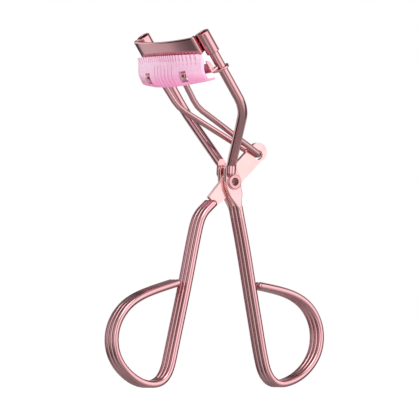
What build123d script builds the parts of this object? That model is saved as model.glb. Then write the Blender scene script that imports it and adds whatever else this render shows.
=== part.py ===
from build123d import *
import math
import os

# Eyelash curler, upright, handles down.  Millimetres.
# Origin: centre of the pivot rivet.  Y = pivot axis, Z = up, the jaws lean toward -X.
# "Front" is -X; the near side is -Y and the far side +Y.

SIDES = (-1, 1)

# --- pivot stack ---
lever_t = 1.5                 # lever plate thickness
stack_gap = 0.10              # between the lever plate and each cheek
cheek_t = 1.5
cheek_in = lever_t / 2 + stack_gap
cheek_out = cheek_in + cheek_t
rivet_r = 1.50
rivet_bore_r = 1.05
rivet_head_r = 1.95
rivet_head_t = 0.35
rivet_rounding = 0.14
washer_r = 2.25
washer_t = 0.25
washer_out = cheek_out + washer_t
head_out = washer_out + rivet_head_t
pivot_run = 0.06              # radial clearance of the lever plate on the rivet
eye_x, eye_z, eye_r = 8.75, 7.67, 1.42    # push rod eye in the lever plate

# --- handle bands ---
rib_r = 1.05
rib_pitch = 1.90              # less than two radii, so neighbouring ribs fuse
web_t = 0.70                  # web between ribs

# --- uprights ---
rod_r = 1.38
rod_y = 16.4                  # half spacing of the two rods
rod_end_y = 2.70              # half spacing of their lower ends
corner_x, corner_z = -5.10, 20.20         # where the tilted part meets the splayed part
tilt_deg = 33.0               # lean of the jaw slide direction from vertical
bend_len = 3.6                # length of the bend on each side of the corner
rod_top = 21.6                # rod tip, along the slide direction

# --- jaws: heights run along the slide direction from the rod corner,
#     reaches run forward of the rods, square to it ---
jaw_r = 84.0                  # arc radius of the upper jaw's front face
jaw_reach = 5.35              # reach of that face at mid width
jaw_half = 15.9               # half width of the arc
arc_centre = jaw_reach - jaw_r
upper_t = 0.80
upper_bottom, upper_top = 19.7, 25.3
upper_rear = 0.8              # the full-height sheet stops at this reach
wrap_bottom, wrap_top = 18.3, 24.9
wrap_clear = 0.01
wrap_t = 0.48

lower_t = 0.50
floor_bottom = 14.1           # underside of the channel floor
front_wall_top = 15.9
back_wall_top = 15.7
end_wall_top = 17.9
channel_w = 2.60              # inside width
front_out = jaw_r + 0.55      # arc radii of the channel walls
front_in = front_out - lower_t
back_out = front_in - channel_w
back_in = back_out - lower_t
lower_half = 17.55            # half width outside the end walls
end_wall_in = 17.05
end_wall_rear = 2.5
back_wall_half = 13.4
collar_bottom, collar_top = 12.0, 13.8
collar_clear = 0.10
collar_t = 0.50
leaf_bottom = collar_bottom + 0.9
tab_y, tab_w = 9.5, 2.6       # tabs bent forward through the guard windows
tab_root_x = -16.3
tab_under, tab_over = 29.25, 29.75        # Z faces of the flat part of a tab

pad_clear = 0.10
pad_half = 13.3
pad_top = 16.1
pad_rounding = 0.6

# --- guard ---
guard_r = 66.0                # plan radius of the front face
guard_x = -21.95              # front face at mid width
guard_half = 17.4
guard_rim_z, guard_bend_z = 34.9, 29.0
guard_bend_rise = 1.2         # the bend line climbs this much toward the ends
guard_stations = (-guard_half, -12.0, -6.0, 0.0, 6.0, 12.0, guard_half)
slot_w, slot_depth = 0.46, 1.5            # comb slots in the rim
slot_half = (1.1, 2.2, 3.3, 4.4, 5.6, 6.9, 8.4, 10.0, 11.7, 13.4, 15.2)
slot_y = (0.0,) + slot_half + tuple(-y for y in slot_half)
groove_count, groove_pitch, groove_w = 6, 1.85, 0.44
window_clear = 0.3            # beside each tab

# --- push rod ---
push_r = 0.85
push_bend_r = 0.95
pin_y = 4.0                   # inner ends of the turned-in pins
leg_y = 6.0                   # legs where they turn into the pins
pin_height, pin_reach = 14.05, 7.02
shoulder_x, shoulder_y, shoulder_z = -13.75, 5.1, 20.75   # bend part way up each leg
ease_len = 2.2                # length taken off each side of that bend
lug_y, lug_t, lug_r = 4.55, 0.7, 1.25
lug_gap = 0.02                # between the bracket and the channel floor
strip_drop = 0.50             # bracket strip underside, below the channel floor
lug_clear = 0.15              # guard cut-out around each lug

# --- frame of the tilted head ---
tilt = math.radians(tilt_deg)
SLIDE = Vector(-math.sin(tilt), 0, math.cos(tilt))
FORWARD = Vector(-math.cos(tilt), 0, -math.sin(tilt))
CORNER = Vector(corner_x, 0, corner_z)


def head_point(height, reach=0.0, y=0.0):
    return CORNER + SLIDE * height + FORWARD * reach + Vector(0, y, 0)


pin = head_point(pin_height, pin_reach)


def prism(plan, bottom, top):
    """Raise a head plan, drawn as (reach, -y), along the slide direction."""
    plane = Plane(origin=head_point(bottom), x_dir=FORWARD, z_dir=SLIDE)
    return extrude(plane * plan, top - bottom, dir=SLIDE)


def head_box(bottom, top, rear, front, y0, y1):
    plan = Pos((rear + front) / 2, -(y0 + y1) / 2) * Rectangle(front - rear, y1 - y0)
    return prism(plan, bottom, top)


def arc_band(outer, inner, half):
    """Head plan between two radii about the jaw arc centre, cut to a half width."""
    ring = (Pos(arc_centre, 0) * Circle(outer)) - (Pos(arc_centre, 0) * Circle(inner))
    return ring & Rectangle(60, 2 * half)


def rear_half_ring(y, outer, inner):
    ring = (Pos(0, y) * Circle(outer)) - (Pos(0, y) * Circle(inner))
    return ring & (Pos(-5, y) * Rectangle(10, 8))


def rounded_strip(start, end, width):
    dx, dy = end[0] - start[0], end[1] - start[1]
    place = Pos((start[0] + end[0]) / 2, (start[1] + end[1]) / 2)
    turn = Rot(0, 0, math.degrees(math.atan2(dy, dx)))
    return place * turn * SlotCenterToCenter(math.hypot(dx, dy), width)


def rod_bore(side, height, radius, length):
    return Pos(*head_point(height, 0, side * rod_y)) * Rot(0, -tilt_deg, 0) * Cylinder(radius, length)


# --- general helpers ---
def box(x0, x1, y0, y1, z0, z1):
    return Pos((x0 + x1) / 2, (y0 + y1) / 2, (z0 + z1) / 2) * Box(x1 - x0, y1 - y0, z1 - z0)


def polygon(points):
    return make_face(Polyline(*points, close=True))


def xz_face(points, y):
    return Plane(origin=(0, y, 0), x_dir=(1, 0, 0), z_dir=(0, -1, 0)) * polygon(points)


def y_plate(points, y0, y1):
    return extrude(xz_face(points, y0), y1 - y0, dir=(0, 1, 0))


def y_cylinder(x, z, radius, y0, y1):
    return Pos(x, (y0 + y1) / 2, z) * Rot(90, 0, 0) * Cylinder(radius, y1 - y0)


def y_bore(x, z, radius, half_length):
    return y_cylinder(x, z, radius, -half_length, half_length)


def side_span(side, inner, outer):
    return sorted((side * inner, side * outer))


def centred_span(middle, width):
    return middle - width / 2, middle + width / 2


def largest(shape):
    return max(shape.solids(), key=lambda solid: solid.volume)


def sweep_circle(path, radius):
    return sweep(Plane(origin=path @ 0, z_dir=path % 0) * Circle(radius), path=path)


# --- handle bands: centreline (x, z), from the pivot down and round the finger loop ---
lever_line = [
    (-5.90, -5.60), (-7.60, -7.15), (-9.05, -8.55), (-10.25, -10.45), (-11.15, -13.2),
    (-12.58, -19.3), (-13.85, -25.2), (-16.35, -36.0), (-18.00, -42.9), (-19.45, -49.0),
    (-20.75, -53.1), (-22.95, -55.75), (-26.2, -56.55), (-29.5, -55.95), (-32.6, -54.25),
    (-35.3, -51.8), (-37.3, -48.6), (-38.15, -45.0), (-37.95, -42.0), (-36.95, -39.0),
    (-35.1, -36.2), (-32.5, -33.8), (-29.3, -32.0), (-24.6, -30.25), (-18.1, -28.35)]
frame_line = [
    (1.75, -6.55), (2.15, -8.6), (2.85, -11.9), (4.05, -17.6), (5.35, -24.4),
    (6.60, -31.2), (8.40, -40.6), (10.35, -50.2), (11.75, -53.95), (14.5, -56.3),
    (18.1, -56.15), (21.9, -54.5), (25.3, -51.6), (27.6, -47.9), (28.45, -43.9),
    (28.15, -40.6), (26.8, -37.2), (24.35, -34.2), (20.7, -31.9), (15.6, -30.3),
    (8.95, -29.05)]


def make_band(line):
    path = Spline(*[Vector(x, 0, z) for x, z in line])
    section = Rectangle(2 * rib_pitch, web_t)
    for k in (-1, 0, 1):
        section += Pos(k * rib_pitch, 0) * Circle(rib_r)
    plane = Plane(origin=path @ 0, x_dir=(0, 1, 0), z_dir=path % 0)
    band = sweep(plane * section, path=path)
    tip = path @ 1
    for k in (-1, 0, 1):
        band += Pos(tip.X, k * rib_pitch, tip.Z) * Sphere(rib_r)
    return largest(band)


# --- pivot plates: outlines (x, z) ---
lever_outline = [
    (-7.15, -4.25), (-2.65, 0.75), (1.75, 5.35), (6.95, 10.30),
    (10.85, 7.05), (3.2, -0.30), (-1.65, -4.35), (-4.75, -6.75)]
cheek_outline = [
    (-2.62, 3.9), (-2.72, 0.3), (-2.3, -2.0), (-1.36, -3.95), (0.10, -5.95),
    (0.85, -7.2), (2.55, -7.2), (2.05, -5.7), (2.86, -3.85), (2.45, -2.0),
    (2.25, -0.4), (2.1, 0.9), (1.5, 2.0), (0.55, 4.3), (-0.9, 4.9)]
lever_end_x, lever_end_z, lever_end_r = 8.95, 8.50, 2.62
lever_boss_r = 2.75
cheek_boss_r = 2.62


def make_lever_plate(band):
    span = centred_span(0, lever_t)
    plate = y_plate(lever_outline, *span)
    plate += y_cylinder(lever_end_x, lever_end_z, lever_end_r, *span)
    plate += y_cylinder(0, 0, lever_boss_r, *span)
    plate -= y_bore(0, 0, rivet_r + pivot_run, 3)
    plate -= y_bore(eye_x, eye_z, eye_r, 3)
    return largest(plate - band)


def make_cheek(side, band):
    span = side_span(side, cheek_in, cheek_out)
    cheek = y_plate(cheek_outline, *span)
    cheek += y_cylinder(0, 0, cheek_boss_r, *span)
    cheek -= y_bore(0, 0, rivet_r + 0.01, 4)
    return largest(cheek - band)


def make_upright(side):
    top = head_point(rod_top, 0, side * rod_y)
    corner = head_point(0, 0, side * rod_y)
    ankle = Vector(-1.10, side * rod_end_y, 4.9)
    end = Vector(-1.25, side * rod_end_y, 2.45)
    down = (corner - top).normalized() * bend_len
    splay = (ankle - corner).normalized() * bend_len
    bend = Bezier(corner - down, corner - down * 0.36, corner + splay * 0.36, corner + splay)
    lower_run = FilletPolyline(corner + splay, ankle, end, radius=1.6)
    path = Wire([Line(top, corner - down), bend] + list(lower_run.edges()))
    rod = sweep_circle(path, rod_r)
    for tip in (top, end):
        rod += Pos(*tip) * Sphere(rod_r)
    # flatten the foot against the cheek, then clear the washer
    flat_y = cheek_out + 0.01
    rod = largest(rod - box(-6, 4, -flat_y, flat_y, 0, 6.5))
    return largest(rod - y_bore(0, 0, washer_r + 0.02, 5))


def make_rivet():
    rivet = y_bore(0, 0, rivet_r, head_out)
    for side in SIDES:
        rivet += y_cylinder(0, 0, rivet_head_r, *side_span(side, washer_out + 0.01, head_out))
    rivet -= y_bore(0, 0, rivet_bore_r, 5)
    rims = [e for e in rivet.edges().filter_by(GeomType.CIRCLE)
            if abs(abs(e.center().Y) - head_out) < 1e-4]
    return largest(fillet(rims, rivet_rounding))


def make_washers():
    hole = y_bore(0, 0, rivet_r + 0.02, 5)
    return Compound(children=[
        largest(y_cylinder(0, 0, washer_r, *side_span(side, cheek_out + 0.005, washer_out)) - hole)
        for side in SIDES])


def make_upper_jaw():
    """Curved sheet whose ends wrap round the back of the rods."""
    bore_r = rod_r + wrap_clear
    wrap_mid = bore_r + wrap_t / 2
    arc_end = arc_centre + math.sqrt((jaw_r - upper_t / 2) ** 2 - jaw_half ** 2)
    sheet = arc_band(jaw_r, jaw_r - upper_t, jaw_half)
    wraps = Sketch()
    for side in SIDES:
        y = side * rod_y
        inner, outer = side * (rod_y - wrap_mid), side * (rod_y + wrap_mid)
        sheet += rounded_strip((arc_end, side * jaw_half), (1.3, inner), upper_t)
        wrap = rear_half_ring(y, bore_r + wrap_t, bore_r)
        wrap += rounded_strip((-0.05, outer), (2.5, outer), wrap_t)
        wrap += rounded_strip((-0.05, inner), (1.4, inner), wrap_t)
        wrap -= Pos(0, y) * Circle(bore_r)
        wraps += wrap
    behind = Pos(upper_rear - 6, 0) * Rectangle(12, 60)
    front = prism(sheet, upper_bottom, upper_top)
    front -= prism(behind, upper_bottom - 1, upper_top + 1)
    jaw = front + (prism(sheet, upper_bottom, wrap_top) + prism(wraps, wrap_bottom, wrap_top))
    for side in SIDES:
        jaw -= rod_bore(side, height=22, radius=bore_r, length=20)
    return largest(jaw)


def guard_line(y):
    """X of the guard's front face and Z of its bend line at y."""
    face = guard_x + (guard_r - math.sqrt(guard_r ** 2 - y ** 2))
    return face, guard_bend_z + guard_bend_rise * (y / guard_half) ** 2


def make_lower_jaw():
    """Curved channel with end walls, sliding collars and two retaining tabs."""
    jaw = prism(arc_band(front_out, back_in, lower_half), floor_bottom, floor_bottom + lower_t)
    jaw += prism(arc_band(front_out, front_in, lower_half), floor_bottom, front_wall_top)
    jaw += prism(arc_band(back_out, back_in, back_wall_half), floor_bottom, back_wall_top)

    bore_r = rod_r + collar_clear
    collar_r = bore_r + collar_t
    near_r, far_r = bore_r + 0.05, collar_r - 0.04        # leaf roots, from the rod axis
    wall_front = arc_centre + math.sqrt(front_in ** 2 - lower_half ** 2) - 0.1
    for side in SIDES:
        wall = (Pos((end_wall_rear + wall_front) / 2, side * (lower_half + end_wall_in) / 2)
                * Rectangle(wall_front - end_wall_rear, lower_half - end_wall_in))
        jaw += prism(wall, leaf_bottom, end_wall_top)
        y = side * rod_y
        half = (Pos(0, y) * Circle(collar_r)) & (Pos(-4.9, y) * Rectangle(10, 8))
        # leaves join the collar to the channel outside and inside the rod
        leaves = polygon([(-0.3, side * (rod_y + near_r)), (-0.3, side * (rod_y + far_r)),
                          (3.3, side * 17.42), (3.3, side * 17.18)])
        leaves += polygon([(-0.3, side * (rod_y - far_r)), (-0.3, side * (rod_y - near_r)),
                           (1.7, side * 14.3), (1.7, side * 13.7)])
        stubs = leaves & (Pos(-4.0, y) * Rectangle(10.4, 9))
        jaw += prism(half, collar_bottom, collar_top)
        jaw += prism(stubs, collar_bottom + 0.1, collar_top - 0.1)
        jaw += prism(leaves, leaf_bottom, floor_bottom + 0.5 * lower_t)
    for side in SIDES:
        jaw -= rod_bore(side, height=14, radius=bore_r, length=14)

    face = guard_line(tab_y)[0]
    tab_profile = [                 # (x, z)
        (tab_root_x, tab_over), (face + 0.40, tab_over), (face + 0.05, 29.35),
        (face + 0.15, 28.75), (face + 1.05, 27.45), (face + 1.45, 27.72),
        (face + 0.62, 28.92), (face + 0.60, tab_under), (tab_root_x, tab_under)]
    # keeps the tabs out of the channel
    behind_front = prism(arc_band(front_out - 0.2, 20, 20), 5, 30)
    for side in SIDES:
        jaw += y_plate(tab_profile, *centred_span(side * tab_y, tab_w)) - behind_front
    return largest(jaw)


def make_pad():
    plan = arc_band(front_in - pad_clear, back_out + pad_clear, pad_half)
    pad = prism(plan, floor_bottom + lower_t + 0.02, pad_top)
    top_edges = [e for e in pad.edges()
                 if abs((e.center() - head_point(0)).dot(SLIDE) - pad_top) < 1e-3
                 and e.length > 10]
    return largest(fillet(top_edges, pad_rounding))


def make_bracket():
    """Strip under the channel floor with two eyes in front of it."""
    strip_bottom, strip_top = floor_bottom - strip_drop, floor_bottom - lug_gap
    lug_rear = pin_reach - 1.6
    strip = arc_band(front_out - 0.1, back_in + 0.6, lug_y + lug_t / 2)
    bracket = prism(strip, strip_bottom, strip_top)
    for side in SIDES:
        span = centred_span(side * lug_y, lug_t)
        lug = y_cylinder(pin.X, pin.Z, lug_r, *span)
        lug += head_box(strip_bottom, strip_top, lug_rear, pin_reach, *span)
        lug += head_box(floor_bottom - 1.1, strip_top, lug_rear, pin_reach - 0.2, *span)
        bracket += lug
    bracket -= y_bore(pin.X, pin.Z, push_r + 0.06, 8)
    return largest(bracket - prism(arc_band(front_out + 0.02, 20, 20), strip_top, 20))


def push_rod_leg(side):
    """Path points from the pin tip to the eye, with the shoulder eased by three points."""
    pin_tip = Vector(pin.X, side * pin_y, pin.Z)
    leg_end = Vector(pin.X, side * leg_y, pin.Z)
    shoulder = Vector(shoulder_x, side * shoulder_y, shoulder_z)
    at_eye = Vector(eye_x - 0.15, side * 1.75, eye_z + 0.10)
    up = (leg_end - shoulder).normalized() * ease_len
    down = (at_eye - shoulder).normalized() * ease_len
    return [pin_tip, leg_end, shoulder + up, shoulder + (up + down) * 0.25,
            shoulder + down, at_eye]


def make_push_rod():
    points = push_rod_leg(-1) + push_rod_leg(1)[::-1]
    return largest(sweep_circle(FilletPolyline(*points, radius=push_bend_r), push_r))


# --- comb guard: sections are (x, z) at one y ---
def guard_section(y):
    face, bend = guard_line(y)
    rim = guard_rim_z
    return xz_face([
        (face - 0.40, rim), (face - 0.08, rim - 0.9), (face, rim - 1.8), (face, bend + 0.35),
        (face + 0.28, bend - 0.40), (face + 1.75, bend - 2.80), (face + 2.45, bend - 2.10),
        (face + 1.15, bend - 0.05), (face + 0.95, bend + 0.8), (face + 0.92, rim - 1.8),
        (face + 0.72, rim - 0.5), (face + 0.38, rim)], y)


def groove_section(y):
    """Region over the front face, reaching to the groove depth."""
    face, bend = guard_line(y)
    return xz_face([
        (face - 1, bend + 4.2), (face + 0.2, bend + 4.2), (face + 0.2, bend + 0.2),
        (face + 0.35, bend - 0.30), (face + 1.9, bend - 2.70), (face + 0.2, bend - 3.3),
        (face - 1, bend)], y)


def flange_section(y):
    """Lip running back from the lower edge, near the guard's ends."""
    face, bend = guard_line(y)
    return xz_face([
        (face + 1.45, bend - 2.40), (face + 1.75, bend - 2.80), (face + 4.45, bend - 2.28),
        (face + 4.65, bend - 1.92), (face + 4.45, bend - 1.60), (face + 2.3, bend - 1.98)], y)


def make_guard():
    guard = loft([guard_section(y) for y in guard_stations])
    skin = loft([groove_section(y) for y in guard_stations])
    for side in SIDES:
        guard += loft([flange_section(y * side) for y in (9.6, 13.5, guard_half)])
    for i in range(groove_count):
        y = (i - (groove_count - 1) / 2) * groove_pitch
        guard -= skin & box(-40, 0, *centred_span(y, groove_w), 20, 40)
    for y in slot_y:
        guard -= box(-26, -17, *centred_span(y, slot_w), guard_rim_z - slot_depth, 40)
    for side in SIDES:
        window = centred_span(side * tab_y, tab_w + 2 * window_clear)
        guard -= box(-26, -17, *window, guard_bend_z - 1.75, guard_bend_z + 1.15)
    for side in SIDES:
        span = centred_span(side * lug_y, lug_t + 2 * lug_clear)
        guard -= y_cylinder(pin.X, pin.Z, lug_r + lug_clear, *span)
    return largest(guard)


# --- build and export ---
def save(shape, name):
    solids = list(shape.solids())
    piece = solids[0] if len(solids) == 1 else Compound(children=solids)
    piece.label = name
    export_step(piece, "parts/" + name + ".step")


os.makedirs("parts", exist_ok=True)
lever_band = make_band(lever_line)
frame_band = make_band(frame_line)
pieces = {
    "frame_handle_band": frame_band,
    "frame_cheek_near": make_cheek(-1, frame_band),
    "frame_cheek_far": make_cheek(1, frame_band),
    "upright_near": make_upright(-1),
    "upright_far": make_upright(1),
    "lever_handle_band": lever_band,
    "lever_plate": make_lever_plate(lever_band),
    "pivot_rivet": make_rivet(),
    "pivot_washers": make_washers(),
    "upper_jaw": make_upper_jaw(),
    "lower_jaw": make_lower_jaw(),
    "clamp_pad": make_pad(),
    "push_rod_bracket": make_bracket(),
    "push_rod": make_push_rod(),
    "comb_guard": make_guard(),
}
for name, shape in pieces.items():
    save(shape, name)
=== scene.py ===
# An eyelash curler with scissor handles, a clamping head and a pink comb guard.
# The pivot axis is Y through the origin. The handles hang towards -Z, and the head leans up
# and forward: front is -X, back is +X, near is -Y and far is +Y.
# Dimensions are in millimetres unless noted; meshes are scaled to metres when they are made.
import bpy
import bmesh
import math
import numpy as np
from mathutils import Vector, Matrix


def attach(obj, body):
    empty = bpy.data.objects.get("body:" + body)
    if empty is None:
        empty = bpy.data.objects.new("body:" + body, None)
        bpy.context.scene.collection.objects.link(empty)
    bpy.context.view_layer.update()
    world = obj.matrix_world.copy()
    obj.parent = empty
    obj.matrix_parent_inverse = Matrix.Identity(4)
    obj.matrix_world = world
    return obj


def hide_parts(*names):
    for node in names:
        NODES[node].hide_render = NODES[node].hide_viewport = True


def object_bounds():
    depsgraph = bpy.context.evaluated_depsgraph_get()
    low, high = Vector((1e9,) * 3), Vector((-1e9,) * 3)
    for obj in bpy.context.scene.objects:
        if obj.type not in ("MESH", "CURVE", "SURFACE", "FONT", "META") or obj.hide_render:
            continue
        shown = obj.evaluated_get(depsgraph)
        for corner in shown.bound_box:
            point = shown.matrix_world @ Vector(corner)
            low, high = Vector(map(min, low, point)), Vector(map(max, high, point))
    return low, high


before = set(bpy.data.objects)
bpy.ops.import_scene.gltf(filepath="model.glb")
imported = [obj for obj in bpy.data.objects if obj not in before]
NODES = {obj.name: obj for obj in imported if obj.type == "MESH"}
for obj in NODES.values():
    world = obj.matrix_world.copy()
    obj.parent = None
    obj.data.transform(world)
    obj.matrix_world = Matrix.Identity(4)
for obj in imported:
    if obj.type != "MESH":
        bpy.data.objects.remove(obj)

CAD_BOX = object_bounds()
MM = 0.001

# ------------------------------------------------------------------ driving dimensions
WIRE_R, WIRE_PITCH = 1.05, 1.90      # each handle band is three fused wires
ROD_Y = 16.4                         # guide rods stand at y = +-ROD_Y

# The head has its own axes: rise along the guide rods, front square to them, and y.
HEAD_TILT = math.radians(33.0)
HEAD_ORIGIN = np.array([-5.10, 0.0, 20.20])
HEAD_RISE = np.array([-math.sin(HEAD_TILT), 0.0, math.cos(HEAD_TILT)])
HEAD_FRONT = np.array([-math.cos(HEAD_TILT), 0.0, -math.sin(HEAD_TILT)])
HEAD_SIDE = np.array([0.0, 1.0, 0.0])

JAW_CENTRE = 5.35 - 84.0             # centre of the jaw arcs, on the head's front axis
CHANNEL_BASE = 14.1                  # underside of the lower jaw channel

GUARD_R, GUARD_X = 66.0, -21.95      # arc of the guard's front face, and its x at y = 0
GUARD_RIM, GUARD_HALF = 34.9, 17.4   # z of the rim, half width
WINDOW_Y, WINDOW_HALF = 9.5, 1.6     # windows that the jaw tabs pass through


def head_point(rise, front, y):
    return HEAD_ORIGIN + HEAD_RISE * rise + HEAD_FRONT * front + HEAD_SIDE * y


def jaw_arc(radius, y):
    """Front coordinate of a jaw arc at y."""
    return JAW_CENTRE + math.sqrt(radius * radius - y * y)


def guard_front(y):
    """X of the guard's front face at y."""
    return GUARD_X + (GUARD_R - math.sqrt(GUARD_R ** 2 - y * y))


def clamp(value):
    return min(1.0, max(0.0, value))


def smoothstep(value):
    value = clamp(value)
    return value * value * (3 - 2 * value)


# ------------------------------------------------------------------ shader helpers
def set_inputs(tree, target, inputs):
    """Sets each input to a value, or links it when given a socket."""
    for key, value in inputs.items():
        if isinstance(value, bpy.types.NodeSocket):
            tree.links.new(value, target.inputs[key])
        else:
            target.inputs[key].default_value = value


def node(tree, kind, inputs=None, **settings):
    made = tree.nodes.new("ShaderNode" + kind)
    for key, value in settings.items():
        setattr(made, key, value)
    set_inputs(tree, made, inputs or {})
    return made


def noise(tree, coords, scale, detail, distortion=0.0):
    inputs = {"Vector": coords, "Scale": scale, "Detail": detail, "Distortion": distortion}
    return node(tree, "TexNoise", inputs).outputs["Fac"]


def map_range(tree, value, source, target=(0.0, 1.0)):
    """Maps the source interval to the target interval, clamped."""
    inputs = {0: value, 1: source[0], 2: source[1], 3: target[0], 4: target[1]}
    return node(tree, "MapRange", inputs).outputs[0]


def multiply(tree, first, second, clamped=False):
    made = node(tree, "Math", {0: first, 1: second}, operation="MULTIPLY", use_clamp=clamped)
    return made.outputs[0]


def mix_colors(tree, factor, first, second, blend="MIX"):
    inputs = {"Factor": factor, "A": first, "B": second}
    made = node(tree, "Mix", inputs, data_type="RGBA", blend_type=blend)
    return made.outputs["Result"]


def color_ramp(tree, factor, stops):
    """Stops are (position, color); a color is an RGB triple or one grey level."""
    made = node(tree, "ValToRGB", {"Fac": factor})
    elements = made.color_ramp.elements
    while len(elements) < len(stops):
        elements.new(0.5)
    for element, (position, color) in zip(elements, stops):
        rgb = color if isinstance(color, tuple) else (color,) * 3
        element.position = position
        element.color = (*rgb, 1)
    return made.outputs["Color"]


def bump(tree, height, strength, distance):
    """Bump normal; the distance is in metres."""
    inputs = {"Strength": strength, "Distance": distance, "Height": height}
    return node(tree, "Bump", inputs).outputs[0]


def object_coords(tree):
    return node(tree, "TexCoord").outputs["Object"]


def new_material(name):
    material = bpy.data.materials.new(name)
    material.use_nodes = True
    tree = material.node_tree
    tree.nodes.clear()
    output = node(tree, "OutputMaterial")
    shader = node(tree, "BsdfPrincipled")
    tree.links.new(shader.outputs[0], output.inputs[0])
    return material, tree, shader


# ------------------------------------------------------------------ materials
# Noise scales are per metre of object space.
def rose_gold(name, base=(0.80, 0.43, 0.455), rough=0.13, scratch=1.0):
    """Mirror-polished plating: slow colour drift, pale worn edges, smudges, polish marks."""
    material, tree, shader = new_material(name)
    coords = object_coords(tree)
    dark = tuple(c * 0.95 for c in base)
    light = tuple(min(1, c * 1.04) for c in base)
    drift = noise(tree, coords, scale=60.0, detail=3.0)
    plating = color_ramp(tree, drift, [(0.35, dark), (0.65, light)])
    # paler metal where convex edges are rubbed
    pointiness = node(tree, "NewGeometry").outputs["Pointiness"]
    edge = map_range(tree, pointiness, source=(0.56, 0.70), target=(0.0, 0.75))
    patches = noise(tree, coords, scale=380.0, detail=2.0)
    worn = multiply(tree, edge, patches, clamped=True)
    smudges = noise(tree, coords, scale=120.0, detail=3.0, distortion=0.5)
    stretched = node(tree, "Mapping", {"Vector": coords, "Scale": (700.0, 160.0, 700.0)})
    marks = noise(tree, stretched.outputs[0], scale=1.0, detail=2.0)
    set_inputs(tree, shader, {
        "Base Color": mix_colors(tree, worn, plating, (0.90, 0.62, 0.58, 1)),
        "Roughness": map_range(tree, smudges, source=(0.35, 0.70),
                               target=(rough * 0.80, rough * 1.30)),
        "Normal": bump(tree, marks, strength=0.03 * scratch, distance=0.00004),
        "Metallic": 1.0,
    })
    return material


def pink_plastic(name):
    material, tree, shader = new_material(name)
    coords = object_coords(tree)
    # painted shade: a little deeper colour towards the bottom, where less light reaches the
    # lower slopes (z in metres)
    z = node(tree, "SeparateXYZ", {0: coords}).outputs["Z"]
    height = map_range(tree, z, source=(0.0262, 0.0335))
    pink = color_ramp(tree, height, [(0.0, (0.80, 0.27, 0.48)), (0.28, (0.88, 0.36, 0.58)),
                                     (0.50, (0.95, 0.54, 0.74)), (1.0, (0.98, 0.64, 0.80))])
    mottle = noise(tree, coords, scale=160.0, detail=3.0)
    value = map_range(tree, mottle, source=(0.3, 0.7), target=(0.96, 1.03))
    varied = node(tree, "HueSaturation", {"Value": value, "Color": pink}).outputs[0]
    # painted shade: darker colour down in the moulded grooves and slots, and in the dimples,
    # where shade falls
    recess_shade = node(tree, "Attribute", attribute_name="recess_shade").outputs["Fac"]
    color = mix_colors(tree, multiply(tree, recess_shade, 0.80), varied, (0.66, 0.20, 0.38, 1))
    grain = noise(tree, coords, scale=320.0, detail=1.0)
    set_inputs(tree, shader, {
        "Base Color": color,
        # painted glow: the plastic gives off a little light of its own colour, standing in for
        # light scattered inside the translucent plastic
        "Emission Color": color,
        "Emission Strength": 0.07,
        "Roughness": map_range(tree, grain, source=(0.3, 0.7), target=(0.24, 0.36)),
        "Normal": bump(tree, grain, strength=0.04, distance=0.00003),
        "Coat Weight": 0.25,
        "Coat Roughness": 0.12,
    })
    return material


def silicone(name):
    material, tree, shader = new_material(name)
    coords = object_coords(tree)
    mottle = noise(tree, coords, scale=220.0, detail=4.0)
    pink = color_ramp(tree, mottle, [(0.3, (0.72, 0.22, 0.38)), (0.7, (0.82, 0.30, 0.46))])
    grain = noise(tree, coords, scale=1500.0, detail=2.0)
    set_inputs(tree, shader, {
        "Base Color": pink,
        "Roughness": map_range(tree, grain, source=(0.3, 0.7), target=(0.42, 0.58)),
        "Normal": bump(tree, grain, strength=0.2, distance=0.00006),
    })
    return material


ROD = rose_gold("rose_gold_rod", rough=0.12, scratch=0.6)
BAND = rose_gold("rose_gold_band", rough=0.15, scratch=0.6)
PLATE = rose_gold("rose_gold_plate", base=(0.85, 0.50, 0.505), rough=0.20)
SHEET = rose_gold("rose_gold_sheet", base=(0.80, 0.42, 0.445), rough=0.11, scratch=0.3)
RIVET = rose_gold("rose_gold_rivet", base=(0.66, 0.36, 0.375), rough=0.16, scratch=0.5)
PINK = pink_plastic("pink_moulded_plastic")
SILICONE = silicone("pink_silicone")

# ------------------------------------------------------------------ CAD pieces
# piece: (material, edge bevel)
CAD_FINISH = {
    "frame_cheek_near": (PLATE, 0.22), "frame_cheek_far": (PLATE, 0.22),
    "lever_plate": (PLATE, 0.12), "pivot_rivet": (RIVET, 0.0), "pivot_washers": (RIVET, 0.12),
    "upper_jaw": (SHEET, 0.36), "lower_jaw": (SHEET, 0.10), "push_rod_bracket": (SHEET, 0.06),
    "frame_handle_band": (BAND, 0.0), "lever_handle_band": (BAND, 0.0),
    "upright_near": (ROD, 0.0), "upright_far": (ROD, 0.0), "push_rod": (ROD, 0.0),
    "comb_guard": (PINK, 0.0), "clamp_pad": (SILICONE, 0.0),
}


def finish_cad(name, material, bevel_width):
    """Gives a CAD piece its material, welded vertices and, where wanted, bevelled edges."""
    piece = NODES[name]
    piece.data.materials.clear()
    piece.data.materials.append(material)
    weld = piece.modifiers.new("weld", "WELD")
    weld.merge_threshold = 0.000002
    if bevel_width:
        bevel = piece.modifiers.new("bevel", "BEVEL")
        bevel.width = bevel_width * MM
        bevel.segments = 3
        bevel.limit_method = "ANGLE"
        bevel.angle_limit = math.radians(35)
        bevel.harden_normals = True


for name, (material, bevel_width) in CAD_FINISH.items():
    finish_cad(name, material, bevel_width)


# ------------------------------------------------------------------ mesh helpers
def add_piece(name, mesh, material, body, replaced, sharp_angle=None):
    """Adds a mesh that rides on a body and stands in for a CAD piece."""
    piece = bpy.data.objects.new(name, mesh)
    bpy.context.scene.collection.objects.link(piece)
    mesh.materials.append(material)
    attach(piece, body)
    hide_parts(replaced)
    if sharp_angle:
        mesh.set_sharp_from_angle(angle=math.radians(sharp_angle))


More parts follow.
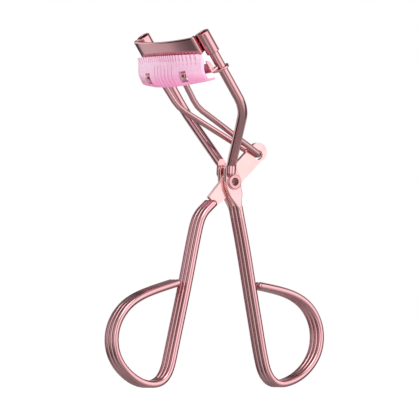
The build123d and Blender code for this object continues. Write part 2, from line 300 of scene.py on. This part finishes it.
def make_mesh(verts, faces, name="m"):
    """Smooth-shaded mesh with outward normals, from vertices in millimetres."""
    mesh = bpy.data.meshes.new(name)
    mesh.from_pydata([tuple(float(c) * MM for c in v) for v in verts], [], faces)
    mesh.validate()
    bm = bmesh.new()
    bm.from_mesh(mesh)
    bmesh.ops.recalc_face_normals(bm, faces=bm.faces)
    bm.to_mesh(mesh)
    bm.free()
    for polygon in mesh.polygons:
        polygon.use_smooth = True
    mesh.update()
    return mesh


def shell(rings, closed_path=False):
    """Joins equally long rings of points; an open path gets a fan cap at each end."""
    n, m = len(rings), len(rings[0])
    verts = [tuple(v) for ring in rings for v in ring]
    faces = []
    for k in range(n if closed_path else n - 1):
        a, b = k * m, (k + 1) % n * m
        for q in range(m):
            q2 = (q + 1) % m
            faces.append((a + q, a + q2, b + q2, b + q))
    if not closed_path:
        for start in (0, (n - 1) * m):
            centre = len(verts)
            verts.append(tuple(np.mean(verts[start:start + m], axis=0)))
            faces += [(centre, start + q, start + (q + 1) % m) for q in range(m)]
    return verts, faces


def merged_mesh(shells):
    verts, faces = [], []
    for shell_verts, shell_faces in shells:
        offset = len(verts)
        verts += shell_verts
        faces += [tuple(i + offset for i in face) for face in shell_faces]
    return make_mesh(verts, faces)


def round_rect(u0, u1, v0, v1, radius, steps=4):
    """Rounded rectangle, clockwise from the middle of the left side."""
    corners = ((u0 + radius, v1 - radius, 180), (u1 - radius, v1 - radius, 90),
               (u1 - radius, v0 + radius, 0), (u0 + radius, v0 + radius, -90))
    outline = []
    for u, v, start in corners:
        for k in range(steps + 1):
            angle = math.radians(start - 90 * k / steps)
            outline.append((u + radius * math.cos(angle), v + radius * math.sin(angle)))
    return outline


def soften(rows, width=2):
    """Moving average over up to `width` rows on each side; the end rows stay."""
    rows = np.array(rows, float)
    softened = rows.copy()
    for k in range(len(rows)):
        reach = min(k, len(rows) - 1 - k, width)
        softened[k] = rows[k - reach:k + reach + 1].mean(axis=0)
    return softened


def normal_at(points, k):
    """Unit normal of a plane path at point k."""
    tangent = points[min(k + 1, len(points) - 1)] - points[max(k - 1, 0)]
    tangent = tangent / np.linalg.norm(tangent)
    return np.array([-tangent[1], tangent[0]])


def natural_spline(points):
    """Natural cubic through the points by chord length: returns (function, total length)."""
    p = np.array(points, float)
    h = np.linalg.norm(np.diff(p, axis=0), axis=1)
    knots = np.concatenate([[0], np.cumsum(h)])
    n = len(p)
    matrix = np.zeros((n, n))
    right = np.zeros((n, p.shape[1]))
    matrix[0, 0] = matrix[-1, -1] = 1
    for i in range(1, n - 1):
        matrix[i, i - 1:i + 2] = h[i - 1], 2 * (h[i - 1] + h[i]), h[i]
        right[i] = 6 * ((p[i + 1] - p[i]) / h[i] - (p[i] - p[i - 1]) / h[i - 1])
    curve = np.linalg.solve(matrix, right)  # second derivatives at the knots

    def at(s):
        i = int(np.clip(np.searchsorted(knots, s) - 1, 0, n - 2))
        a, b = knots[i + 1] - s, s - knots[i]
        return ((curve[i] * a ** 3 + curve[i + 1] * b ** 3) / (6 * h[i])
                + (p[i] / h[i] - curve[i] * h[i] / 6) * a
                + (p[i + 1] / h[i] - curve[i + 1] * h[i] / 6) * b)
    return at, knots[-1]


def catmull_rom(points, steps):
    """Catmull-Rom curve through the points, with this many steps per span."""
    p = np.array(points, float)
    p = np.vstack([2 * p[0] - p[1], p, 2 * p[-1] - p[-2]])
    curve = []
    for k in range(1, len(p) - 2):
        p0, p1, p2, p3 = p[k - 1:k + 3]
        for j in range(steps):
            t = j / steps
            curve.append(0.5 * ((2 * p1) + (-p0 + p2) * t
                                + (2 * p0 - 5 * p1 + 4 * p2 - p3) * t * t
                                + (-p0 + 3 * p1 - 3 * p2 + p3) * t ** 3))
    curve.append(p[-2])
    return np.array(curve)


# ------------------------------------------------------------------ upper jaw
UPPER_R = 83.6                       # radius of the sheet's middle surface
UPPER_ARC_END = 15.9                 # y where the arc gives way to a straight run
UPPER_HALF, CURL_HALF = 0.39, 0.235  # half thickness along the arc, and round the rod
CURL_R = 1.675                       # middle radius of the curl round a guide rod
UPPER_LOW, CURL_LOW, UPPER_TOP = 19.7, 18.3, 25.28
CURL_TOP = UPPER_TOP - 0.4
UPPER_EDGE_R = 0.36


def upper_jaw_path():
    """Rows of (front, y, half thickness, low rise, high rise) from end to end."""
    half = [(jaw_arc(UPPER_R, y), y, UPPER_HALF, UPPER_LOW, UPPER_TOP)
            for y in np.arange(0.1, 15.75, 0.2)]
    start = np.array([jaw_arc(UPPER_R, UPPER_ARC_END), UPPER_ARC_END])
    end = np.array([1.3, ROD_Y - CURL_R])
    for t in np.linspace(0, 1, 16):
        front, y = start + (end - start) * t
        top = CURL_TOP if t > 0.55 else UPPER_TOP
        half.append((front, y, UPPER_HALF + (CURL_HALF - UPPER_HALF) * t, UPPER_LOW, top))
    for front in np.linspace(1.15, 0.15, 8):
        low = CURL_LOW if front < 0.95 else UPPER_LOW
        half.append((front, ROD_Y - CURL_R, CURL_HALF, low, CURL_TOP))
    for degrees in np.linspace(-90, -388, 66):
        angle = math.radians(degrees)
        half.append((CURL_R * math.cos(angle), ROD_Y + CURL_R * math.sin(angle),
                     CURL_HALF, CURL_LOW, CURL_TOP))
    mirrored = [(row[0], -row[1], *row[2:]) for row in reversed(half)]
    return soften(mirrored + half)


def upper_jaw_mesh():
    """Bent sheet-metal strip with rounded edges."""
    path = upper_jaw_path()
    rings = []
    for k, (front, y, half, low, high) in enumerate(path):
        normal = normal_at(path[:, :2], k)
        radius = min(UPPER_EDGE_R, half * 0.96, (high - low) * 0.45)
        section = round_rect(-half, half, low, high, radius, steps=5)
        # three more points down each flat side
        rises = (high - radius - 0.10, (high + low) / 2, low + radius + 0.10)
        section[12:12] = [(half, rise) for rise in rises]
        section += [(-half, rise) for rise in reversed(rises)]
        rings.append([head_point(rise, front + normal[0] * d, y + normal[1] * d)
                      for d, rise in section])
    return make_mesh(*shell(rings))


add_piece("upper_jaw_sheet", upper_jaw_mesh(), SHEET, "frame", "upper_jaw",
          sharp_angle=60)


# ------------------------------------------------------------------ lower jaw
def channel_shell():
    """U section swept along the jaw arc; the back wall drops away outside |y| = 13.4."""
    front_out, front_in = 84.55, 84.05   # radii of the front wall's faces
    back_r, back_thick = 80.95, 0.5
    end_back_r = 80.32                   # radius that sets the straight back edge at the ends
    floor, back_top, front_top = 14.62, 15.7, 15.9
    rings = []
    stations = {round(y, 3) for y in np.linspace(-17.5, 17.5, 141)}
    for y in sorted(stations | {-13.5, -13.3, 13.3, 13.5}):
        wall = clamp((13.5 - abs(y)) / 0.2)
        back = floor + (back_top - floor) * wall
        front = front_top - 0.5 * clamp((abs(y) - 16.9) / 0.6) ** 2
        # the floor stops in front of the guide rods
        stop = smoothstep((abs(y) - 14.1) / 0.6)
        inner = back_r + (math.sqrt(end_back_r ** 2 + y * y) - back_r) * stop
        outer = inner + back_thick
        # (radius, rise): up the front wall, over the floor, round the back wall
        section = [
            (front_out, 14.22), (front_out, front - 0.20), (front_out - 0.07, front - 0.06),
            (front_out - 0.25, front), (front_in + 0.06, front - 0.07),
            (front_in, front - 0.22), (front_in, 14.75), (front_in - 0.14, floor),
            (outer + 0.14, floor), (outer, floor + 0.13 * wall), (outer, back - 0.16 * wall),
            (outer - 0.25, back), (inner, back - 0.18 * wall), (inner, 14.24),
            (inner + 0.13, CHANNEL_BASE), (front_out - 0.13, CHANNEL_BASE)]
        rings.append([head_point(rise, jaw_arc(radius, y), y) for radius, rise in section])
    return shell(rings)


def eye_shell(side):
    """Flat eye round the guide rod, drawn out to a leaf that rises to the channel floor."""
    hole_r, rim_r, tip_r = 1.47, 2.12, 4.05
    leaf_angle = math.radians(13.0)
    leaf_half = math.acos(rim_r / tip_r)
    half_thick, rise, leaf_lift, steps = 0.34, 13.15, 1.05, 96
    rings = []
    for k in range(steps):
        angle = 2 * math.pi * k / steps
        away = abs((angle - leaf_angle + math.pi) % (2 * math.pi) - math.pi)
        edge = rim_r / math.cos(leaf_half - away) if away < leaf_half else rim_r
        edge = min(edge, tip_r - 0.06)
        ring = []
        for radius, height in round_rect(hole_r, edge, -half_thick, half_thick, 0.16):
            lift = leaf_lift * max(0.0, (radius - rim_r) / (tip_r - rim_r)) ** 1.1
            ring.append(head_point(rise + height + lift, radius * math.cos(angle),
                                   side * (ROD_Y + radius * math.sin(angle))))
        rings.append(ring)
    return shell(rings, closed_path=True)


def end_wall_shell(side):
    """Small wall at the channel's end, leaning outwards as it rises."""
    low, half_thick = 14.15, 0.24
    rings = []
    for t in np.linspace(0, 1, 12):
        top = 17.75 - 1.3 * (1 - t) ** 2.2
        y = 17.22 + 0.05 * t
        rings.append([
            head_point(rise, 2.75 + 1.25 * t, side * (y + d + 0.10 * ((rise - low) / 3.5) ** 2))
            for d, rise in round_rect(-half_thick, half_thick, low, top, 0.16)])
    return shell(rings)


def tab_shell(y):
    """Strip that reaches forward through a guard window and hooks down over the front."""
    face = guard_front(y)
    # (x, z) corners, softened into bends
    corners = np.array([(-17.55, 29.72), (face + 0.75, 29.84), (face + 0.20, 29.50),
                        (face + 0.20, 28.95), (face + 0.86, 27.95)])
    path = []
    for a, b in zip(corners[:-1], corners[1:]):
        n = max(2, int(np.linalg.norm(b - a) / 0.12))
        path += [a + (b - a) * k / n for k in range(n)]
    path.append(corners[-1])
    path = soften(path, 3)
    rings = []
    for k, (x, z) in enumerate(path):
        normal = normal_at(path, k)
        taper = 1.0 - 0.10 * max(0.0, (k - (len(path) - 5)) / 4.0)
        rings.append([(x + normal[0] * d, y + width * taper, z + normal[1] * d)
                      for width, d in round_rect(-1.3, 1.3, -0.24, 0.24, 0.14)])
    return shell(rings)


lower_jaw = [channel_shell()]
for side in (-1, 1):
    lower_jaw += [eye_shell(side), end_wall_shell(side), tab_shell(WINDOW_Y * side)]
add_piece("lower_jaw_channel", merged_mesh(lower_jaw), SHEET, "jaw",
          "lower_jaw", sharp_angle=55)


# ------------------------------------------------------------------ silicone pad
def pad_mesh():
    """Crowned strip along the channel, with a faint pressed line where the upper edge lands."""
    r0, r1, low, high, half = 81.56, 83.94, 14.63, 16.09, 13.28
    middle = (r0 + r1) / 2
    across, along = 22, 120
    end_length, end_shrink = 0.5, 0.28
    # (radius, rise): over the crown, then round the underside
    section = []
    for q in range(across + 1):
        t = q / across
        c = 2 * t - 1
        crown, line = 0.52 * abs(c) ** 3.2, 0.05 * math.exp(-((c - 0.1) / 0.12) ** 2)
        section.append((r0 + (r1 - r0) * t, high - crown - line))
    section += [(r1, low + 0.5), (r1 - 0.04, low + 0.12), (r1 - 0.14, low),
                (r0 + 0.14, low), (r0 + 0.04, low + 0.12), (r0, low + 0.5)]
    rings = []
    for k in range(along + 1):
        y = half * (2 * k / along - 1)
        near_end = max(0.0, (abs(y) - (half - end_length)) / end_length)
        scale = 1 - end_shrink * near_end ** 2.5
        ring = []
        for radius, rise in section:
            ripple = 0.012 * math.sin(3.1 * y + 5 * radius)
            height = min(high, max(low, low + (rise - low) * scale + ripple))
            ring.append(head_point(height, jaw_arc(middle + (radius - middle) * scale, y), y))
        rings.append(ring)
    return make_mesh(*shell(rings))


add_piece("silicone_strip", pad_mesh(), SILICONE, "jaw", "clamp_pad")

# ------------------------------------------------------------------ handle bands
# (x, z) of the middle wire, from the pivot down and round the finger loop
LEVER_LINE = [
    (-5.90, -5.60), (-7.60, -7.15), (-9.05, -8.55), (-10.25, -10.45), (-11.15, -13.2),
    (-12.58, -19.3), (-13.85, -25.2), (-16.35, -36.0), (-18.00, -42.9), (-19.45, -49.0),
    (-20.75, -53.1), (-22.95, -55.75), (-26.2, -56.55), (-29.5, -55.95), (-32.6, -54.25),
    (-35.3, -51.8), (-37.3, -48.6), (-38.15, -45.0), (-37.95, -42.0), (-36.95, -39.0),
    (-35.1, -36.2), (-32.5, -33.8), (-29.3, -32.0), (-24.6, -30.25), (-18.1, -28.35)]
FRAME_LINE = [
    (1.75, -6.55), (2.15, -8.6), (2.85, -11.9), (4.05, -17.6), (5.35, -24.4), (6.60, -31.2),
    (8.40, -40.6), (10.35, -50.2), (11.75, -53.95), (14.5, -56.3), (18.1, -56.15),
    (21.9, -54.5), (25.3, -51.6), (27.6, -47.9), (28.45, -43.9), (28.15, -40.6),
    (26.8, -37.2), (24.35, -34.2), (20.7, -31.9), (15.6, -30.3), (8.95, -29.05)]
RINGS_PER_MM = 2.2
START_LENGTH, START_ROUNDING = 0.3, 0.25


def wires_outline(steps=16):
    """Closed outline of three fused wires, as rows of (y, height, y of the wire's centre)."""
    meet = math.acos(WIRE_PITCH / 2 / WIRE_R)
    top = []
    for k in (-1, 0, 1):
        start = math.pi if k == -1 else math.pi - meet
        end = 0.0 if k == 1 else meet
        for q in range(steps):
            angle = start + (end - start) * (q + 0.5) / steps
            top.append((k * WIRE_PITCH + WIRE_R * math.cos(angle),
                        WIRE_R * math.sin(angle), k * WIRE_PITCH))
    return top + [(y, -height, centre) for y, height, centre in reversed(top)]


def band_mesh(line):
    at, total = natural_spline(line)

    def frame_at(s):
        a, b = at(max(0, s - 0.02)), at(min(total, s + 0.02))
        return at(s), (b - a) / np.linalg.norm(b - a)

    # stations: (centre, tangent, height scale, width scale)
    stations = []
    for s in np.linspace(0, total, int(total * RINGS_PER_MM)):
        scale = 1 - START_ROUNDING * max(0.0, 1 - s / START_LENGTH) ** 2
        stations.append((*frame_at(s), scale, scale))
    # rounded far end
    centre, tangent = frame_at(total)
    for j in range(1, 9):
        angle = j / 8 * math.pi / 2 * 0.985
        stations.append((centre + tangent * WIRE_R * math.sin(angle), tangent,
                         math.cos(angle), 0.35 + 0.65 * math.cos(angle)))
    outline = wires_outline()
    rings = []
    for centre, tangent, tall, wide in stations:
        rings.append([(centre[0] - tangent[1] * height * tall,
                       wire_y * (0.82 + 0.18 * wide) + (y - wire_y) * wide,
                       centre[1] + tangent[0] * height * tall)
                      for y, height, wire_y in outline])
    return make_mesh(*shell(rings))


for body, line in (("lever", LEVER_LINE), ("frame", FRAME_LINE)):
    add_piece(body + "_handle_wires", band_mesh(line), BAND, body,
              body + "_handle_band", sharp_angle=60)

# ------------------------------------------------------------------ cheeks
# (z, x) of the cheek's front and back edges, from the top down
CHEEK_FRONT = [
    (4.9, -0.75), (4.72, -1.75), (4.3, -2.35), (3.6, -2.62), (2.0, -2.70), (0.3, -2.70),
    (-2.0, -2.32), (-3.95, -1.40), (-5.0, -0.62), (-5.95, 0.05), (-7.2, 0.72), (-8.2, 1.02),
    (-10.0, 1.40)]
CHEEK_BACK = [
    (4.9, -0.75), (4.72, -0.05), (4.3, 0.50), (3.6, 0.86), (2.0, 1.62), (0.9, 2.12),
    (-0.4, 2.30), (-2.0, 2.48), (-3.0, 2.74), (-3.85, 2.80), (-4.8, 2.52), (-5.7, 2.36),
    (-7.2, 2.70), (-8.2, 3.05), (-10.0, 3.44)]
CHEEK_TOP, CHEEK_BOTTOM = 4.9, -10.0
BORE_R = 1.51


def cheek_edge(table, z):
    """X of an edge at z, averaged over nearby heights except close to the top."""
    zs, xs = zip(*sorted(table))
    if z < 4.2:
        return np.mean([float(np.interp(z + d, zs, xs)) for d in (-0.45, -0.22, 0, 0.22, 0.45)])
    return float(np.interp(z, zs, xs))


def cheek_mesh(side):
    """An outer wire at the bottom, flattened to a plate towards the pivot."""
    zs = [CHEEK_TOP - 0.9 * (1 - math.cos(math.pi / 2 * k / 10)) for k in range(1, 11)]
    zs += list(np.linspace(3.95, CHEEK_BOTTOM, 70))
    steps = 40
    rings = []
    for z in zs:
        front, back = cheek_edge(CHEEK_FRONT, z), cheek_edge(CHEEK_BACK, z)
        wire = smoothstep((-3.6 - z) / 4.4)  # 0 is the flat plate, 1 the round wire
        centre_x, half_x = (front + back) / 2, (back - front) / 2
        centre_y = 1.60 * (1 - wire) + WIRE_PITCH * wire
        half_y = 0.75 * (1 - wire) + 1.06 * wire
        if z < -8.2:
            half_x = 1.055
        if z > 4.0:
            half_y *= 0.92
        # superellipse: nearly square in the plate, round in the wire
        power = 2 / (2.0 + 7.0 * (1 - wire))
        ring = []
        for q in range(steps):
            angle = 2 * math.pi * (q + 0.5) / steps
            u, v = math.cos(angle), math.sin(angle)
            ring.append((centre_x + half_x * math.copysign(abs(u) ** power, u),
                         side * (centre_y + half_y * math.copysign(abs(v) ** power, v)), z))
        rings.append(ring)
    return make_mesh(*shell(rings))


def bored(mesh, radius, y0, y1):
    """The mesh with a round hole along Y through the origin."""
    n = 64
    verts = [(radius * math.cos(2 * math.pi * k / n), y, radius * math.sin(2 * math.pi * k / n))
             for y in (y0, y1) for k in range(n)]
    faces = [(k, (k + 1) % n, n + (k + 1) % n, n + k) for k in range(n)]
    faces += [tuple(range(n))[::-1], tuple(range(n, 2 * n))]
    blank = bpy.data.objects.new("blank", mesh)
    cutter = bpy.data.objects.new("cutter", make_mesh(verts, faces, "cutter"))
    for piece in (blank, cutter):
        bpy.context.scene.collection.objects.link(piece)
    hole = blank.modifiers.new("hole", "BOOLEAN")
    hole.operation = "DIFFERENCE"
    hole.solver = "EXACT"
    hole.object = cutter
    bpy.context.view_layer.update()
    evaluated = blank.evaluated_get(bpy.context.evaluated_depsgraph_get())
    result = bpy.data.meshes.new_from_object(evaluated)
    bpy.data.objects.remove(blank)
    bpy.data.objects.remove(cutter)
    for polygon in result.polygons:
        polygon.use_smooth = True
    return result


for name, side in (("near", -1), ("far", 1)):
    add_piece("cheek_" + name, bored(cheek_mesh(side), BORE_R, side * 0.5, side * 3.0), PLATE,
              "frame", "frame_cheek_" + name, sharp_angle=60)

# ------------------------------------------------------------------ comb guard
SLOT_OFFSETS = (1.1, 2.2, 3.3, 4.4, 5.6, 6.9, 8.4, 10.0, 11.7, 13.4, 15.2)
SLOTS = sorted([0.0, *SLOT_OFFSETS, *(-y for y in SLOT_OFFSETS)])
SLOT_W, SLOT_DEPTH = 0.46, 1.5
GROOVES = [(k - 2.5) * 1.85 for k in range(6)]
DIMPLES = [y for y in SLOTS if y < -5]  # under the outer slots of the near side
DIMPLE_Z = GUARD_RIM - 2.55
LUG_Y, LUG_HALF, LUG_R = 4.55, 0.62, 1.45
LUG_CENTRE = np.array([-18.64, 28.16])  # (x, z)
SPAN_STEPS = 6                          # curve steps between section points


def guard_bend(y):
    """Z of the bend between the upper and lower walls."""
    return 29.0 + 1.2 * (y / GUARD_HALF) ** 2


def guard_stations():
    """Even steps in y, with exact stations at the slot and window edges."""
    exact = {round(centre + edge * SLOT_W / 2 + d, 4)
             for centre in SLOTS for edge in (-1, 1) for d in (-0.02, 0.02)}
    exact |= {round(side * WINDOW_Y + d, 4)
              for side in (-1, 1) for d in (-WINDOW_HALF, WINDOW_HALF)}
    even = set(np.round(np.linspace(-GUARD_HALF, GUARD_HALF, 233), 4))
    first, *others = sorted(even | exact)
    stations = [first]
    for y in others:
        if y - stations[-1] >= 0.03 or y in exact:
            stations.append(y)
    return stations


def guard_section(y):
    """Front and back curves of the wall at y, as (x, z) from the rim down."""
    x, bend, rim = guard_front(y), guard_bend(y), GUARD_RIM
    # the lower lip is short in the middle and full beyond |y| = 9.7
    lip = 0.05 + 0.95 / (1 + math.exp(-(abs(y) - 9.7) / 0.16))
    if any(abs(y - centre) < SLOT_W / 2 for centre in SLOTS):
        top = rim - SLOT_DEPTH
        front = [(x - 0.03, top), (x - 0.01, top - 0.2)]
        back = [(x + 0.90, top), (x + 0.91, top - 0.2)]
    else:
        # tooth tips are rounded towards the slots and the guard's ends
        near = min(abs(y - centre) for centre in SLOTS)
        crown = 0.10 * math.exp(-((near - SLOT_W / 2) / 0.16) ** 2)
        end = 0.35 * max(0.0, (abs(y) - (GUARD_HALF - 1.1)) / 1.1) ** 2.4
        top = rim - crown - end
        front = [(x - 0.34, top), (x - 0.14, top - 0.75)]
        back = [(x + 0.36, top), (x + 0.68, top - 0.75)]
    front += [(x, rim - 1.95), (x, bend + 1.0), (x + 0.16, bend - 0.20),
              (x + 0.92, bend - 1.62), (x + 1.86, bend - 2.74),
              (x + 1.86 + 2.62 * lip, bend - 2.74 + 0.50 * lip)]
    back += [(x + 0.92, rim - 1.95), (x + 0.95, bend + 1.0), (x + 1.06, bend + 0.02),
             (x + 1.64, bend - 1.02), (x + 2.46, bend - 2.02),
             (x + 2.46 + 2.10 * lip, bend - 2.02 + 0.40 * lip)]
    return catmull_rom(front, SPAN_STEPS), catmull_rom(back, SPAN_STEPS)


def clear_lugs(back, y):
    """Makes room for the push-rod lugs behind the lower wall."""
    if abs(abs(y) - LUG_Y) < LUG_HALF:
        for k in range(len(back)):
            offset = back[k] - LUG_CENTRE
            distance = float(np.linalg.norm(offset))
            if distance < LUG_R:
                back[k] = LUG_CENTRE + offset / distance * LUG_R


def press_grooves(front, y):
    """Presses the vertical grooves and the dimples into the front curve."""
    bend = guard_bend(y)
    for groove in GROOVES:
        depth = 0.32 * math.exp(-((y - groove) / 0.30) ** 2 * 1.8)
        for k in range(len(front)):
            z = front[k][1]
            fade = clamp((GUARD_RIM - 2.5 - z) / 0.9) * clamp((z - (bend - 2.95)) / 0.6)
            normal = normal_at(front, k)
            if normal[0] > 0:
                normal = -normal
            front[k] = front[k] - normal * depth * fade
    for dimple in DIMPLES:
        if abs(y - dimple) < 0.5:
            for point in front:
                point[0] += 0.22 * math.exp(-((y - dimple) / 0.2) ** 2
                                            - ((point[1] - DIMPLE_Z) / 0.28) ** 2)


def recess_shade_strength(y, z):
    """Strength of the painted shade at a point of the front face, 0 to 1."""
    fade = clamp((GUARD_RIM - 2.2 - z) / 0.8), clamp((z - (guard_bend(y) - 2.9)) / 0.5)
    below_slot = math.exp(-max(0.0, GUARD_RIM - SLOT_DEPTH - z) / 0.45)
    marks = [math.exp(-((y - groove) / 0.26) ** 2) * fade[0] * fade[1] for groove in GROOVES]
    marks += [(0.85 if slot < 2 else 0.30) * math.exp(-((y - slot) / 0.30) ** 2) * below_slot
              for slot in SLOTS]
    marks += [math.exp(-((y - dimple) / 0.24) ** 2 - ((z - DIMPLE_Z) / 0.30) ** 2)
              for dimple in DIMPLES]
    return max(marks)


def guard_faces(ys, m):
    """Front skin, back skin, window reveals and edges, for m points per section."""
    n = len(ys)

    def outer(k, i):
        return k * m + i

    def inner(k, i):
        return n * m + k * m + i

    # window cells lie over the bend, between the upper wall and the lower wall
    window = {(k, i) for k in range(n - 1) for i in range(3 * SPAN_STEPS, 5 * SPAN_STEPS + 2)
              if abs(abs((ys[k] + ys[k + 1]) / 2) - WINDOW_Y) < WINDOW_HALF}
    faces = []
    for k in range(n - 1):
        for i in range(m - 1):
            if (k, i) in window:
                continue
            faces.append((outer(k, i), outer(k + 1, i), outer(k + 1, i + 1), outer(k, i + 1)))
            faces.append((inner(k, i), inner(k, i + 1), inner(k + 1, i + 1), inner(k + 1, i)))
            # (neighbour cell, the edge shared with it)
            for cell, (a, b) in (((k - 1, i), ((k, i), (k, i + 1))),
                                 ((k + 1, i), ((k + 1, i + 1), (k + 1, i))),
                                 ((k, i - 1), ((k + 1, i), (k, i))),
                                 ((k, i + 1), ((k, i + 1), (k + 1, i + 1)))):
                if cell in window:
                    faces.append((outer(*a), outer(*b), inner(*b), inner(*a)))
        faces.append((outer(k, 0), inner(k, 0), inner(k + 1, 0), outer(k + 1, 0)))
        faces.append((outer(k, m - 1), outer(k + 1, m - 1), inner(k + 1, m - 1),
                      inner(k, m - 1)))
    for k in (0, n - 1):
        for i in range(m - 1):
            faces.append((outer(k, i), outer(k, i + 1), inner(k, i + 1), inner(k, i)))
    return faces


def guard_mesh():
    ys = guard_stations()
    fronts, backs, recess_shade = [], [], []
    for y in ys:
        front, back = guard_section(y)
        clear_lugs(back, y)
        press_grooves(front, y)
        fronts += [(x, y, z) for x, z in front]
        backs += [(x, y, z) for x, z in back]
        # painted shade: how dark the grooves, slots and dimples are painted, per front point
        recess_shade += [recess_shade_strength(y, z) for x, z in front]
    mesh = make_mesh(fronts + backs, guard_faces(ys, len(front)))
    # the painted shade goes to the plastic's shader as a point attribute; the back skin gets
    # none
    values = np.concatenate([recess_shade, np.zeros(len(backs))])
    attribute = mesh.attributes.new("recess_shade", "FLOAT", "POINT")
    attribute.data.foreach_set("value", values.astype(np.float32))
    return mesh


add_piece("comb_guard_moulding", guard_mesh(), PINK, "jaw", "comb_guard",
          sharp_angle=50)

# ------------------------------------------------------------------ stage
scene = bpy.context.scene
scene.view_settings.view_transform = "Standard"
scene.view_settings.look = "None"
scene.view_settings.exposure = 0.0
scene.view_settings.gamma = 1.0
scene.cycles.use_denoising = True

CAMERA_TURN = 30.5  # degrees round from -Y towards -X

# Studio brightness by height: (position, grey), from straight down to straight up
HEIGHT_STOPS = [(0.0, 0.24), (0.14, 0.33), (0.27, 0.58), (0.40, 0.70),
                (0.49, 0.95), (0.62, 1.0), (0.78, 0.80), (0.90, 0.30)]
# Brightness round the set: (degrees from the camera, positive to its right, grey)
BACK_FLAGS = [(-179, 0.50), (-167, 0.05), (-153, 0.05), (-148.5, 0.88),
              (-128, 0.86), (-122, 0.40), (-115, 0.04), (-98, 0.04)]
LEFT_FLAGS_LOW = [(-84, 0.18), (-60, 0.20), (-40, 0.24), (-26, 0.50), (-15, 1.35), (-1, 1.35)]
LEFT_FLAGS_HIGH = [(-84, 0.22), (-76, 0.60), (-60, 0.60), (-48, 0.22),
                   (-28, 0.32), (-15, 1.40), (-1, 1.40)]
RIGHT_FLAGS = [(11, 0.50), (30, 0.50), (44, 1.22), (76, 1.22), (86, 0.38),
               (98, 0.04), (118, 0.04), (128, 0.42), (150, 0.80), (178, 0.55)]


def flag_stops(left_flags):
    return sorted(((degrees - CAMERA_TURN + 180.0) % 360.0 / 360.0, grey)
                  for degrees, grey in BACK_FLAGS + left_flags + RIGHT_FLAGS)


def build_world():
    """A grey studio for lighting and reflections; the camera itself sees plain white."""
    world = bpy.data.worlds.new("studio")
    scene.world = world
    world.use_nodes = True
    tree = world.node_tree
    tree.nodes.clear()
    output = node(tree, "OutputWorld")
    direction = node(tree, "TexCoord").outputs["Generated"]
    axes = node(tree, "SeparateXYZ", {0: direction})
    x, y, z = (axes.outputs[axis] for axis in "XYZ")
    height = map_range(tree, z, source=(-1.0, 1.0))
    by_height = color_ramp(tree, height, HEIGHT_STOPS)
    azimuth = node(tree, "Math", {0: x, 1: multiply(tree, y, -1.0)}, operation="ARCTAN2")
    turn = map_range(tree, azimuth.outputs[0], source=(-math.pi, math.pi))
    low = color_ramp(tree, turn, flag_stops(LEFT_FLAGS_LOW))
    high = color_ramp(tree, turn, flag_stops(LEFT_FLAGS_HIGH))
    # the left softbox is seen only by the level and upper directions
    level = map_range(tree, z, source=(-0.42, -0.20))
    by_turn = mix_colors(tree, level, low, high)
    # the flags fade out towards straight down
    flagged = map_range(tree, z, source=(-0.88, -0.50))
    studio = mix_colors(tree, flagged, by_height, by_turn, blend="MULTIPLY")
    lighting = node(tree, "Background", {"Color": studio, "Strength": 1.22})
    white = node(tree, "Background", {"Color": (1, 1, 1, 1), "Strength": 1.0})
    seen = node(tree, "LightPath").outputs["Is Camera Ray"]
    mixed = node(tree, "MixShader", {0: seen, 1: lighting.outputs[0], 2: white.outputs[0]})
    tree.links.new(mixed.outputs[0], output.inputs[0])


def add_area_light(name, location, size, power):
    """Rectangular light aimed at the origin; location and size in metres, power in watts."""
    data = bpy.data.lights.new(name, "AREA")
    data.shape = "RECTANGLE"
    data.size, data.size_y = size
    data.energy = power
    light = bpy.data.objects.new(name, data)
    scene.collection.objects.link(light)
    light.location = location
    light.rotation_mode = "QUATERNION"
    light.rotation_quaternion = (-Vector(location)).to_track_quat("-Z", "Y")


def floor_material():
    """Pale, softly glowing, and clear from below."""
    material, tree, shader = new_material("pale_floor")
    surface = shader.outputs[0].links[0].to_socket
    mottle = noise(tree, object_coords(tree), scale=3.0, detail=2.0)
    set_inputs(tree, shader, {
        "Base Color": color_ramp(tree, mottle, [(0.3, 0.93), (0.7, 0.96)]),
        "Roughness": 0.9,
        "Emission Color": (1, 1, 1, 1),
        "Emission Strength": 0.66,
    })
    backfacing = node(tree, "NewGeometry").outputs["Backfacing"]
    clear = node(tree, "BsdfTransparent")
    mixed = node(tree, "MixShader", {0: backfacing, 1: shader.outputs[0], 2: clear.outputs[0]})
    tree.links.new(mixed.outputs[0], surface)
    return material


def add_floor():
    """One wide sheet, low enough that the swung lever loop clears it; metres."""
    half, z = 6, CAD_BOX[0].z - 0.0056
    mesh = bpy.data.meshes.new("floor")
    corners = [(-half, -half, z), (half, -half, z), (half, half, z), (-half, half, z)]
    mesh.from_pydata(corners, [], [(0, 1, 2, 3)])
    floor = bpy.data.objects.new("floor", mesh)
    scene.collection.objects.link(floor)
    mesh.materials.append(floor_material())
    floor.visible_glossy = False


def add_camera():
    """From the near front, a degree below level."""
    turn, elevation = math.radians(CAMERA_TURN), math.radians(-1.0)
    distance = 2.2       # metres
    view_width = 117.04  # width seen at the target
    sensor = 36.0
    back = Vector((-math.sin(turn) * math.cos(elevation),
                   -math.cos(turn) * math.cos(elevation), math.sin(elevation)))
    right = Vector((math.cos(turn), -math.sin(turn), 0.0))
    up = back.cross(right)
    target = right * (-5.88 * MM) + up * (-7.56 * MM)
    data = bpy.data.cameras.new("camera")
    camera = bpy.data.objects.new("camera", data)
    scene.collection.objects.link(camera)
    camera.location = target + back * distance
    camera.rotation_mode = "QUATERNION"
    camera.rotation_quaternion = Matrix((right, up, back)).transposed().to_quaternion()
    data.sensor_width = sensor
    data.lens = sensor * distance * 1000.0 / view_width
    data.clip_start, data.clip_end = 0.01, 50.0
    scene.camera = camera


build_world()
add_area_light("key", location=(-0.25, -0.45, 0.52), size=(0.40, 0.40), power=1.0)
add_area_light("fill", location=(0.50, -0.30, 0.25), size=(0.30, 0.45), power=0.2)
add_floor()
add_camera()
